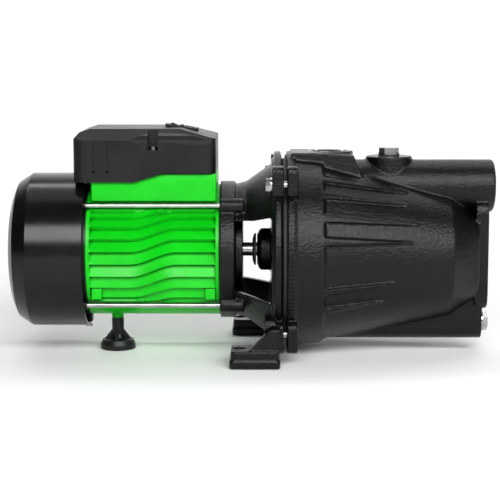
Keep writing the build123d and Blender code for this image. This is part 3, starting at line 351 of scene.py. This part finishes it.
finishes = {
    "black_iron": makeCastIron(),
    "green_paint": makeGreenPaint(),
    "gloss_black_plastic": makePlastic(
        "glossBlackCowl", (0.0022, 0.0022, 0.0025), 0.2, 700, 0.00002, 0.0002, 0.3,
    ),
    "satin_black_plastic": makePlastic(
        "satinBlackMoulding", (0.0045, 0.0045, 0.005), 0.36, 2600, 0.00005, 0.00015, 0.3,
    ),
    "zinc_steel": makeMetal("brightZinc", (0.5, 0.5, 0.49), 0.2, (0.15, 1, 1)),
    "stainless": makeMetal("groundShaftSteel", (0.62, 0.62, 0.61), 0.3, (4, 0.3, 0.3)),
    "bearing_steel": makeMetal("bearingSteel", (0.7, 0.7, 0.7), 0.12),
    "bare_aluminium": makeMetal("dieCastAluminium", (0.72, 0.72, 0.73), 0.42, (1, 1, 1), 700, 0.0001),
    "lamination_steel": makeMetal("stackedSheets", (0.34, 0.35, 0.37), 0.45, (8, 0.2, 0.2), 500, 0.0001),
    "enamelled_copper": makeMetal("varnishedCopper", (0.6, 0.24, 0.09), 0.35, (0.3, 3, 3), 500, 0.0003),
    "brass": makeMetal("machinedBrass", (0.72, 0.5, 0.2), 0.25),
    "black_rubber": makeRubber(),
    "black_enamel": makePlastic("blackEnamel", (0.003, 0.003, 0.0032), 0.3, 900, 0.00004, 0.0002, 0.35),
    "moulded_plastic": makePlastic("ivoryMoulding", (0.6, 0.58, 0.52), 0.4, 1500, 0.00003),
    "seal_ceramic": makePlastic("lappedCeramic", (0.8, 0.78, 0.72), 0.15, 2000, 0.00001),
    "seal_carbon": makePlastic("lappedCarbon", (0.03, 0.03, 0.03), 0.3, 2000, 0.00001),
}


def dressFrame():
    slotOf = {p["node"]: p["material_slot"] for p in record["subparts"]}
    for name, thing in nodes.items():
        thing.data.materials.clear()
        thing.data.materials.append(finishes[slotOf[name]])
        thing.data.polygons.foreach_set("material_index", [0] * len(thing.data.polygons))
    print("finishes on", len(nodes), "nodes")


# shapes
def smoothByAngle(thing, degrees):
    # flat where faces meet sharply, smooth elsewhere
    mesh = thing.data
    mesh.shade_smooth()
    mesh.set_sharp_from_angle(angle=math.radians(degrees))


def addBlock(build, low, high, radius, segments=3):
    # a block with rounded edges, added to a bmesh
    made = bmesh.ops.create_cube(build, size=1.0)
    size = Vector(high) - Vector(low)
    middle = (Vector(high) + Vector(low)) / 2
    bmesh.ops.scale(build, vec=size, verts=made["verts"])
    bmesh.ops.translate(build, vec=middle, verts=made["verts"])
    edges = list({e for v in made["verts"] for e in v.link_edges})
    bmesh.ops.bevel(build, geom=edges, offset=radius, segments=segments, profile=0.5, affect="EDGES")


def bridge(build, loops):
    # faces between each closed loop of vertices and the next
    for first, second in zip(loops, loops[1:]):
        for i in range(len(first)):
            after = (i + 1) % len(first)
            build.faces.new((first[i], first[after], second[after], second[i]))


def addTurned(build, outline, centre, axis, count=48):
    # revolves (along, radius) points about an axis through the centre
    axis = Vector(axis).normalized()
    across = axis.orthogonal().normalized()
    other = axis.cross(across)
    rings = []
    for along, radius in outline:
        ring = []
        for step in range(count):
            angle = 2 * math.pi * step / count
            outward = across * math.cos(angle) + other * math.sin(angle)
            ring.append(build.verts.new(Vector(centre) + axis * along + outward * radius))
        rings.append(ring)
    bridge(build, rings)
    build.faces.new(list(reversed(rings[0])))
    build.faces.new(rings[-1])


housing = {
    "lipRadius": 57.0,
    "valleyRadius": 51.6,
    "bore": 48.2,
    "finPitch": 11.0,      # degrees
    "topFin": 38.4,
    "windowAngle": 43.2,
    "rimWidth": 3.2,
    "stepStart": 38.0,     # from the rear rim
    "stepEnd": 77.0,
}
filler = (80, 85, 90, 95, 100)   # degrees, the plain band over the top and under the bottom
finSamples = (0.0, 0.02, 0.06, 0.11, 0.16, 0.24, 0.36, 0.5, 0.64, 0.78, 0.9, 0.97)


def ease(t):
    t = min(max(t, 0.0), 1.0)
    return t * t * (3 - 2 * t)


def finDepth(phase):
    # 0 at a lip; a sharp step in just below it, then a slow swell out to the next lip
    if phase < 0.02:
        return 0.06 * phase / 0.02
    if phase < 0.14:
        return 0.06 + 0.94 * ease((phase - 0.02) / 0.12)
    return 1.0 - ((phase - 0.14) / 0.86) ** 1.25


def housingRows():
    # angles above the horizontal, from the top of one side down to its bottom, denser at each lip
    rows = [75.0, 70.0, 65.0, 60.0, 55.0]
    for fin in range(-1, 9):
        for phase in finSamples:
            angle = housing["topFin"] - housing["finPitch"] * (fin + phase)
            if -52 < angle < 52:
                rows.append(angle)
    rows += [-55.0, -60.0, -65.0, -70.0, -75.0]
    return rows


def housingColumns(length):
    rim = housing["rimWidth"]
    columns = [0.0, 0.5, rim - 0.5, rim, rim + 0.9, rim + 2.4]
    along = rim + 4.0
    while along < length - rim - 3.0:
        columns.append(along)
        along += 1.4
    columns += [length - rim - 2.4, length - rim - 0.9, length - rim]
    columns += [length - rim + 0.5, length - 0.5, length]
    return columns


def housingRadius(along, length, angle, phase):
    lip = housing["lipRadius"]
    edge = 0.45 if along in (0.0, length) else 0.0
    rim = housing["rimWidth"]
    inside = ease((min(along, length - along) - rim) / 0.9)
    inside *= ease((housing["windowAngle"] + 0.4 - abs(angle)) / 1.4)
    return lip - edge - inside * finDepth(phase) * (lip - housing["valleyRadius"])


def makeHousing():
    low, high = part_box("motor_housing")
    length = (high[0] - low[0]) / mm
    rows = housingRows()
    stepLength = housing["stepEnd"] - housing["stepStart"]
    build = bmesh.new()
    rings = []
    for along in housingColumns(length):
        shift = housing["finPitch"] * ease((along - housing["stepStart"]) / stepLength)
        near = []
        for base in rows:
            weight = min(max((75 - abs(base)) / 23, 0.0), 1.0)
            angle = base + shift * weight
            phase = ((housing["topFin"] - base) / housing["finPitch"]) % 1.0
            phase = 0.0 if phase > 0.9999 else phase
            near.append((angle, housingRadius(along, length, angle, phase)))
        spots = list(reversed(near))
        plain = housingRadius(along, length, 90, 0.0)
        spots += [(float(a), plain) for a in filler]
        spots += [(180 - angle, radius) for angle, radius in near]
        spots += [(float(a + 180), plain) for a in filler]
        ring = []
        for angle, radius in spots:
            turn = math.radians(angle)
            ring.append(build.verts.new((
                low[0] + along * mm,
                -radius * mm * math.cos(turn),
                shaftHeight + radius * mm * math.sin(turn),
            )))
        rings.append(ring)
    bores = []
    bore = housing["bore"] * mm
    for along in (0.0, length):
        ring = []
        for vert in rings[0]:
            turn = math.atan2(vert.co.z - shaftHeight, vert.co.y)
            ring.append(build.verts.new((
                low[0] + along * mm, bore * math.cos(turn), shaftHeight + bore * math.sin(turn),
            )))
        bores.append(ring)
    bridge(build, [bores[0]] + rings + [bores[1], bores[0]])
    # pedestal under the terminal box, standing clear of the upper tie rods
    rise = shaftHeight
    boxLow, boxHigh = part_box("terminal_box_gasket")
    left, right = boxLow[0] - 0.5 * mm, low[0] + (length - 3) * mm
    addBlock(build, (left, boxLow[1], rise + 46.2 * mm), (right, boxHigh[1], boxLow[2]), 1.2 * mm)
    addBlock(
        build, (left + 0.5 * mm, -38.6 * mm, rise + 30 * mm),
        (right - 0.5 * mm, 38.6 * mm, rise + 50 * mm), 1.0 * mm,
    )
    # lifting pads low on both ends
    for start in (housing["rimWidth"] + 1.2, length - housing["rimWidth"] - 9.0):
        addBlock(
            build, (low[0] + start * mm, -49.6 * mm, rise - 36.8 * mm),
            (low[0] + (start + 8.6) * mm, -40 * mm, rise - 27.2 * mm), 0.8 * mm,
        )
    # boss for the support foot
    footLow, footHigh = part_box("motor_foot")
    footX = (footLow[0] + footHigh[0]) / 2
    outline = ((0, 4.4), (0.5, 5.0), (3.2, 5.1), (4.4, 6.2), (7.5, 8.0))
    outline = [(along * mm, radius * mm) for along, radius in outline]
    addTurned(build, outline, (footX, 0, footHigh[2]), (0, 0, 1))
    piece = finishPiece(build, "finnedHousing", "green_paint", 38)
    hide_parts("motor_housing")
    print("housing fins made:", len(piece.data.polygons), "faces")


def finishPiece(build, name, slotName, degrees):
    # turns a bmesh into a piece of the standing part of the pump
    bmesh.ops.recalc_face_normals(build, faces=build.faces)
    mesh = bpy.data.meshes.new(name)
    build.to_mesh(mesh)
    build.free()
    piece = bpy.data.objects.new(name, mesh)
    bpy.context.collection.objects.link(piece)
    mesh.materials.append(finishes[slotName])
    smoothByAngle(piece, degrees)
    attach(piece, "pump")
    return piece


rimTeeth = {
    "pitch": 3.6,          # along the rim
    "height": 0.9,
    "start": 40.9,         # from the middle of the feet, along the shaft
    "end": 46.4,
    "rimRadius": 85.6,
    "lowest": -34,         # degrees below the shaft's level
    "highest": 32,
}


def addArcBar(build, middle, half, inner, outer, start, end):
    # a small rounded tooth across the rim
    corners = []
    for spread, radius in ((half, inner), (half * 0.7, outer), (-half * 0.7, outer), (-half, inner)):
        turn = math.radians(middle + spread)
        corners.append((-radius * math.cos(turn), radius * math.sin(turn)))
    loops = []
    for x in (start, start + 0.5, end - 0.5, end):
        pull = 0.6 if x in (start, end) else 0.0
        shrink = 1 - pull / 86
        loops.append([
            build.verts.new((x * mm, (y * shrink) * mm, shaftHeight + (z * shrink) * mm))
            for y, z in corners
        ])
    bridge(build, loops)
    build.faces.new(loops[0])
    build.faces.new(list(reversed(loops[-1])))


def makeRimTeeth():
    build = bmesh.new()
    pitch = math.degrees(rimTeeth["pitch"] / rimTeeth["rimRadius"])
    for side in (0, 180):
        angle = rimTeeth["lowest"]
        while angle < rimTeeth["highest"]:
            middle = angle if side == 0 else 180 - angle
            addArcBar(
                build, middle, pitch * 0.3, rimTeeth["rimRadius"], rimTeeth["rimRadius"] + rimTeeth["height"],
                rimTeeth["start"], rimTeeth["end"],
            )
            angle += pitch
    finishPiece(build, "flangeRimTeeth", "black_iron", 25)
    print("rim teeth made")


portThread = {"pitch": 2.31, "turns": 5, "rootRadius": 15.15, "crestRadius": 13.9, "steps": 64}


def portFrame(mount, mouth):
    # the middle of a port's mouth, and three directions with the first pointing out
    port = next(m for m in record["mounts"] if m["name"] == mount)
    axis = Vector(port["axis"]).normalized()
    across = axis.orthogonal().normalized()
    return Vector(port["pos_m"]) + axis * mouth * mm, axis, across, axis.cross(across)


def makePortThread(name, mount, mouth):
    # the cut thread in a port, as one helical ridge
    place, axis, across, other = portFrame(mount, mouth)
    section = ((-1.1, 0.0), (-0.15, 1.0), (0.15, 1.0), (1.1, 0.0))
    build = bmesh.new()
    rows = []
    total = portThread["turns"] * portThread["steps"]
    depth = portThread["rootRadius"] - portThread["crestRadius"]
    for step in range(total + 1):
        angle = 2 * math.pi * step / portThread["steps"]
        down = 2.4 + portThread["pitch"] * step / portThread["steps"]
        fade = min(1.0, step / 12, (total - step) / 12)
        outward = across * math.cos(angle) + other * math.sin(angle)
        row = []
        for along, rise in section:
            radius = portThread["rootRadius"] - rise * fade * depth
            spot = place + outward * radius * mm - axis * (down + along) * mm
            row.append(build.verts.new(spot))
        rows.append(row)
    bridge(build, rows)
    build.faces.new(list(reversed(rows[0])))
    build.faces.new(rows[-1])
    finishPiece(build, name, "zinc_steel", 30)


def makePortFace(name, mount, mouth, outer):
    # the machined seat around a port, left bare
    place, axis, across, other = portFrame(mount, mouth)
    build = bmesh.new()
    profile = (
        (outer - 0.3, 0.0), (outer, 0.10), (outer, 0.14), (17.5, 0.14),
        (15.4, -1.9), (15.3, -2.1), (16.9, -0.4),
    )
    count = 72
    turns = [2 * math.pi * k / count for k in range(count)]
    around = [across * math.cos(turn) + other * math.sin(turn) for turn in turns]
    loops = []
    for radius, rise in profile:
        loops.append([
            build.verts.new(place + outward * radius * mm + axis * rise * mm) for outward in around
        ])
    bridge(build, loops + loops[:1])
    finishPiece(build, name, "zinc_steel", 30)


def softenCasting(name, voxel, rounds):
    # rounds every edge of a casting as foundry sand does
    thing = nodes[name]
    remesh = thing.modifiers.new("sandSkin", "REMESH")
    remesh.mode = "VOXEL"
    remesh.voxel_size = voxel * mm
    remesh.use_smooth_shade = True
    smooth = thing.modifiers.new("roundedEdges", "SMOOTH")
    smooth.factor = 0.5
    smooth.iterations = rounds


def shadeNodes():
    for thing in nodes.values():
        smoothByAngle(thing, 30)


makeStudio()
dressFrame()
shadeNodes()
makeHousing()
makeRimTeeth()
for portName, mount, mouth in (("discharge", "discharge_port", 9.0), ("suction", "suction_port", 8.0)):
    makePortThread(portName + "Thread", mount, mouth)
    makePortFace(portName + "Face", mount, mouth, 18.8)
softenCasting("pump_body", 1.0, 3)
softenCasting("bracket", 0.9, 3)
